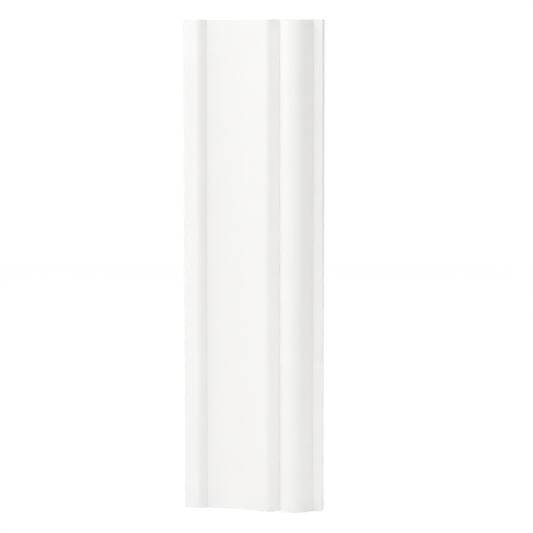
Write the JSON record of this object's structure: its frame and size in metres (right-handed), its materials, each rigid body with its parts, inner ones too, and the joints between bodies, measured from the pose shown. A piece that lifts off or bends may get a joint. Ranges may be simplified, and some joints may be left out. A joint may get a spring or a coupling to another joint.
{
  "type": "skirting board",
  "caption": "Short length of moulded white skirting: sloped bead, sweeping hollow with a round nose, torus and flat floor fillet on a flat-backed strip.",
  "frame": {"origin": "centre of the flat back face, at mid-length and mid-width", "axes": "+Z along the length, -Y out of the wall towards the moulded face, +X from the thin edge to the thick floor edge"},
  "size_m": [0.11, 0.0211, 0.385],
  "materials": {
    "white_polymer": "smooth satin white, with finely sawn ends"
  },
  "bodies": {
    "root": {"skirting_board": "white_polymer"}
  },
  "joints": []
}
